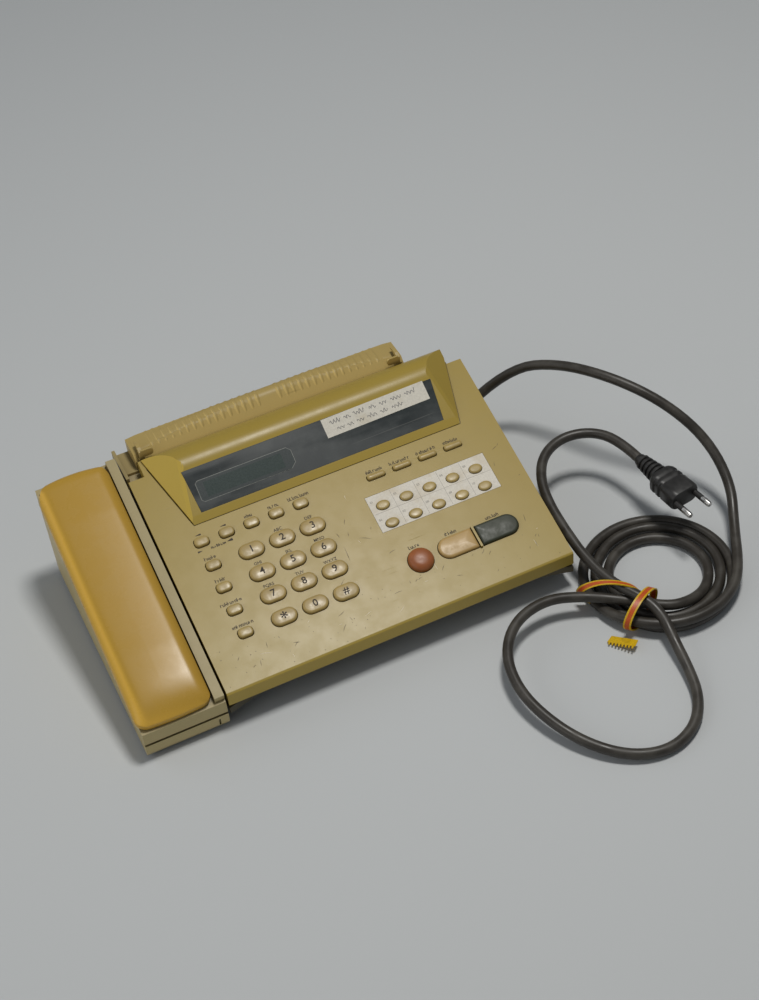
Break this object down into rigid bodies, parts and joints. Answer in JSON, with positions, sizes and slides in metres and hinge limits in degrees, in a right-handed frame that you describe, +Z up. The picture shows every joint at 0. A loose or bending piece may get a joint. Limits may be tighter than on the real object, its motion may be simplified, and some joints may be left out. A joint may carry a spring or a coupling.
{
  "type": "fax machine",
  "caption": "Desktop fax machine with a sloping key panel, display housing, corded handset in a side cradle, paper roll bay, roller drive and a coiled power cord.",
  "frame": {"origin": "centre of the machine's footprint, on the surface it stands on, cord left out", "axes": "+X to the machine's right seen from the front, +Y to its back, +Z up"},
  "size_m": [0.5009, 0.3981, 0.1046],
  "materials": {
    "cover_plastic": "aged beige moulded plastic with a fine texture",
    "base_plastic": "aged ivory moulded plastic with a fine texture",
    "support_plastic": "aged beige ribbed plastic",
    "guide_plastic": "aged beige plastic",
    "cradle_plastic": "ivory moulded plastic",
    "handset_plastic": "yellowed smooth plastic, rubbed glossy",
    "handset_face": "ivory moulded plastic",
    "digit_keys": "rubbed tan plastic",
    "small_keys": "rubbed tan plastic",
    "stop_key": "dull red plastic",
    "copy_key": "tan plastic",
    "start_key": "dark olive-grey plastic",
    "window": "dark smoked plastic",
    "lcd": "unlit display",
    "label": "printed card",
    "gear_plastic": "natural nylon",
    "roller_rubber": "ground rubber",
    "printhead": "machined",
    "sensor": "black housing with a glass face",
    "paper": "smooth thermal paper",
    "motor_steel": "plated",
    "circuit_board": "solder mask",
    "speaker": "paper cone and steel basket",
    "switch_plastic": "moulded",
    "foot_rubber": "soft rubber",
    "screw_steel": "zinc plated",
    "cord_rubber": "dark grey-brown cord sheath",
    "plug_plastic": "moulded black plug"
  },
  "bodies": {
    "base": {"base_housing": "base_plastic", "handset_cradle": "cradle_plastic", "document_support": "support_plastic", "thermal_printhead": "printhead", "image_sensor": "sensor", "drive_motor": "motor_steel", "main_circuit_board": "circuit_board", "speaker": "speaker", "rubber_feet": "foot_rubber", "case_screws": "screw_steel", "cord_strain_relief": "cord_rubber", "power_cord": "cord_rubber", "power_cord_coil": "cord_rubber", "power_cord_loop": "cord_rubber", "plug_lead": "cord_rubber", "power_plug": "plug_plastic"},
    "cover": {"control_panel_cover": "cover_plastic", "display_window": "window", "lcd_module": "lcd", "one_touch_label": "label", "panel_circuit_board": "circuit_board"},
    "handset": {"handset_back_shell": "handset_plastic", "handset_face_shell": "handset_face"},
    "hook_switch": {"hook_switch": "switch_plastic"},
    "guide_left": {"document_guide_left": "guide_plastic"},
    "guide_right": {"document_guide_right": "guide_plastic"},
    "guide_pinion": {"guide_pinion": "gear_plastic"},
    "platen_roller": {"platen_roller": "roller_rubber"},
    "feed_roller": {"feed_roller": "roller_rubber"},
    "motor_pinion": {"motor_pinion": "gear_plastic"},
    "paper_roll": {"paper_roll": "paper"},
    "key_1": {"key_1": "digit_keys"},
    "key_2": {"key_2": "digit_keys"},
    "key_3": {"key_3": "digit_keys"},
    "key_4": {"key_4": "digit_keys"},
    "key_5": {"key_5": "digit_keys"},
    "key_6": {"key_6": "digit_keys"},
    "key_7": {"key_7": "digit_keys"},
    "key_8": {"key_8": "digit_keys"},
    "key_9": {"key_9": "digit_keys"},
    "key_star": {"key_star": "digit_keys"},
    "key_0": {"key_0": "digit_keys"},
    "key_hash": {"key_hash": "digit_keys"},
    "key_volume_down": {"key_volume_down": "small_keys"},
    "key_volume_up": {"key_volume_up": "small_keys"},
    "key_set": {"key_set": "small_keys"},
    "key_mode": {"key_mode": "small_keys"},
    "key_resolution": {"key_resolution": "small_keys"},
    "key_hook": {"key_hook": "small_keys"},
    "key_hold": {"key_hold": "small_keys"},
    "key_redial": {"key_redial": "small_keys"},
    "key_speed_dial": {"key_speed_dial": "small_keys"},
    "key_function": {"key_function": "small_keys"},
    "key_verify": {"key_verify": "small_keys"},
    "key_index": {"key_index": "small_keys"},
    "key_help": {"key_help": "small_keys"},
    "stop_key": {"stop_key": "stop_key"},
    "copy_key": {"copy_key": "copy_key"},
    "start_key": {"start_key": "start_key"},
    "one_touch_keys": {"one_touch_keys": "small_keys"}
  },
  "joints": [
    {"name": "cover_hinge", "type": "hinge", "parent": "base", "child": "cover", "pos_m": [0.034, -0.108, 0.0285], "axis": [1, 0, 0], "range_deg": [0, 55]},
    {"name": "handset_lift", "type": "slide", "parent": "base", "child": "handset", "axis": [0, -0.2924, 0.9563], "range_m": [0, 0.12]},
    {"name": "hook_switch_press", "type": "slide", "parent": "base", "child": "hook_switch", "axis": [0, -0.2924, 0.9563], "range_m": [0, 0.004]},
    {"name": "guide_left_slide", "type": "slide", "parent": "base", "child": "guide_left", "axis": [1, 0, 0], "range_m": [0, 0.034]},
    {"name": "guide_right_slide", "type": "slide", "parent": "base", "child": "guide_right", "axis": [-1, 0, 0], "range_m": [0, 0.034]},
    {"name": "guide_pinion_spin", "type": "hinge", "parent": "base", "child": "guide_pinion", "pos_m": [0.0195, 0.0992, 0.0882], "axis": [0, 0, -1], "range_deg": [0, 352.9]},
    {"name": "platen_spin", "type": "hinge", "parent": "base", "child": "platen_roller", "pos_m": [0.0195, 0.044, 0.056], "axis": [1, 0, 0], "continuous": true},
    {"name": "feed_spin", "type": "hinge", "parent": "base", "child": "feed_roller", "pos_m": [0.0195, 0.0162, 0.0543], "axis": [1, 0, 0], "continuous": true},
    {"name": "pinion_spin", "type": "hinge", "parent": "base", "child": "motor_pinion", "pos_m": [0.14, 0.02924, 0.0437], "axis": [1, 0, 0], "continuous": true},
    {"name": "paper_roll_spin", "type": "hinge", "parent": "base", "child": "paper_roll", "pos_m": [0.0195, 0.08, 0.034], "axis": [1, 0, 0], "continuous": true},
    {"name": "key_1_press", "type": "slide", "parent": "cover", "child": "key_1", "axis": [0, 0.2924, -0.9563], "range_m": [0, 0.0015], "stiffness_N_per_m": 300, "springref_m": -0.0006},
    {"name": "key_2_press", "type": "slide", "parent": "cover", "child": "key_2", "axis": [0, 0.2924, -0.9563], "range_m": [0, 0.0015], "stiffness_N_per_m": 300, "springref_m": -0.0006},
    {"name": "key_3_press", "type": "slide", "parent": "cover", "child": "key_3", "axis": [0, 0.2924, -0.9563], "range_m": [0, 0.0015], "stiffness_N_per_m": 300, "springref_m": -0.0006},
    {"name": "key_4_press", "type": "slide", "parent": "cover", "child": "key_4", "axis": [0, 0.2924, -0.9563], "range_m": [0, 0.0015], "stiffness_N_per_m": 300, "springref_m": -0.0006},
    {"name": "key_5_press", "type": "slide", "parent": "cover", "child": "key_5", "axis": [0, 0.2924, -0.9563], "range_m": [0, 0.0015], "stiffness_N_per_m": 300, "springref_m": -0.0006},
    {"name": "key_6_press", "type": "slide", "parent": "cover", "child": "key_6", "axis": [0, 0.2924, -0.9563], "range_m": [0, 0.0015], "stiffness_N_per_m": 300, "springref_m": -0.0006},
    {"name": "key_7_press", "type": "slide", "parent": "cover", "child": "key_7", "axis": [0, 0.2924, -0.9563], "range_m": [0, 0.0015], "stiffness_N_per_m": 300, "springref_m": -0.0006},
    {"name": "key_8_press", "type": "slide", "parent": "cover", "child": "key_8", "axis": [0, 0.2924, -0.9563], "range_m": [0, 0.0015], "stiffness_N_per_m": 300, "springref_m": -0.0006},
    {"name": "key_9_press", "type": "slide", "parent": "cover", "child": "key_9", "axis": [0, 0.2924, -0.9563], "range_m": [0, 0.0015], "stiffness_N_per_m": 300, "springref_m": -0.0006},
    {"name": "key_star_press", "type": "slide", "parent": "cover", "child": "key_star", "axis": [0, 0.2924, -0.9563], "range_m": [0, 0.0015], "stiffness_N_per_m": 300, "springref_m": -0.0006},
    {"name": "key_0_press", "type": "slide", "parent": "cover", "child": "key_0", "axis": [0, 0.2924, -0.9563], "range_m": [0, 0.0015], "stiffness_N_per_m": 300, "springref_m": -0.0006},
    {"name": "key_hash_press", "type": "slide", "parent": "cover", "child": "key_hash", "axis": [0, 0.2924, -0.9563], "range_m": [0, 0.0015], "stiffness_N_per_m": 300, "springref_m": -0.0006},
    {"name": "key_volume_down_press", "type": "slide", "parent": "cover", "child": "key_volume_down", "axis": [0, 0.2924, -0.9563], "range_m": [0, 0.0015], "stiffness_N_per_m": 300, "springref_m": -0.0006},
    {"name": "key_volume_up_press", "type": "slide", "parent": "cover", "child": "key_volume_up", "axis": [0, 0.2924, -0.9563], "range_m": [0, 0.0015], "stiffness_N_per_m": 300, "springref_m": -0.0006},
    {"name": "key_set_press", "type": "slide", "parent": "cover", "child": "key_set", "axis": [0, 0.2924, -0.9563], "range_m": [0, 0.0015], "stiffness_N_per_m": 300, "springref_m": -0.0006},
    {"name": "key_mode_press", "type": "slide", "parent": "cover", "child": "key_mode", "axis": [0, 0.2924, -0.9563], "range_m": [0, 0.0015], "stiffness_N_per_m": 300, "springref_m": -0.0006},
    {"name": "key_resolution_press", "type": "slide", "parent": "cover", "child": "key_resolution", "axis": [0, 0.2924, -0.9563], "range_m": [0, 0.0015], "stiffness_N_per_m": 300, "springref_m": -0.0006},
    {"name": "key_hook_press", "type": "slide", "parent": "cover", "child": "key_hook", "axis": [0, 0.2924, -0.9563], "range_m": [0, 0.0015], "stiffness_N_per_m": 300, "springref_m": -0.0006},
    {"name": "key_hold_press", "type": "slide", "parent": "cover", "child": "key_hold", "axis": [0, 0.2924, -0.9563], "range_m": [0, 0.0015], "stiffness_N_per_m": 300, "springref_m": -0.0006},
    {"name": "key_redial_press", "type": "slide", "parent": "cover", "child": "key_redial", "axis": [0, 0.2924, -0.9563], "range_m": [0, 0.0015], "stiffness_N_per_m": 300, "springref_m": -0.0006},
    {"name": "key_speed_dial_press", "type": "slide", "parent": "cover", "child": "key_speed_dial", "axis": [0, 0.2924, -0.9563], "range_m": [0, 0.0015], "stiffness_N_per_m": 300, "springref_m": -0.0006},
    {"name": "key_function_press", "type": "slide", "parent": "cover", "child": "key_function", "axis": [0, 0.2924, -0.9563], "range_m": [0, 0.0015], "stiffness_N_per_m": 300, "springref_m": -0.0006},
    {"name": "key_verify_press", "type": "slide", "parent": "cover", "child": "key_verify", "axis": [0, 0.2924, -0.9563], "range_m": [0, 0.0015], "stiffness_N_per_m": 300, "springref_m": -0.0006},
    {"name": "key_index_press", "type": "slide", "parent": "cover", "child": "key_index", "axis": [0, 0.2924, -0.9563], "range_m": [0, 0.0015], "stiffness_N_per_m": 300, "springref_m": -0.0006},
    {"name": "key_help_press", "type": "slide", "parent": "cover", "child": "key_help", "axis": [0, 0.2924, -0.9563], "range_m": [0, 0.0015], "stiffness_N_per_m": 300, "springref_m": -0.0006},
    {"name": "stop_key_press", "type": "slide", "parent": "cover", "child": "stop_key", "axis": [0, 0.2924, -0.9563], "range_m": [0, 0.0015], "stiffness_N_per_m": 300, "springref_m": -0.0006},
    {"name": "copy_key_press", "type": "slide", "parent": "cover", "child": "copy_key", "axis": [0, 0.2924, -0.9563], "range_m": [0, 0.0015], "stiffness_N_per_m": 300, "springref_m": -0.0006},
    {"name": "start_key_press", "type": "slide", "parent": "cover", "child": "start_key", "axis": [0, 0.2924, -0.9563], "range_m": [0, 0.0015], "stiffness_N_per_m": 300, "springref_m": -0.0006},
    {"name": "one_touch_keys_press", "type": "slide", "parent": "cover", "child": "one_touch_keys", "axis": [0, 0.2924, -0.9563], "range_m": [0, 0.0015], "stiffness_N_per_m": 300, "springref_m": -0.0006}
  ],
  "couplings": [
    {"joint": "hook_switch_press", "follows": "handset_lift", "ratio": 0.033333},
    {"joint": "guide_right_slide", "follows": "guide_left_slide", "ratio": 1},
    {"joint": "guide_pinion_spin", "follows": "guide_left_slide", "rad_per_m": 178.57},
    {"joint": "feed_spin", "follows": "platen_spin", "ratio": 1.2},
    {"joint": "pinion_spin", "follows": "platen_spin", "ratio": -3}
  ]
}
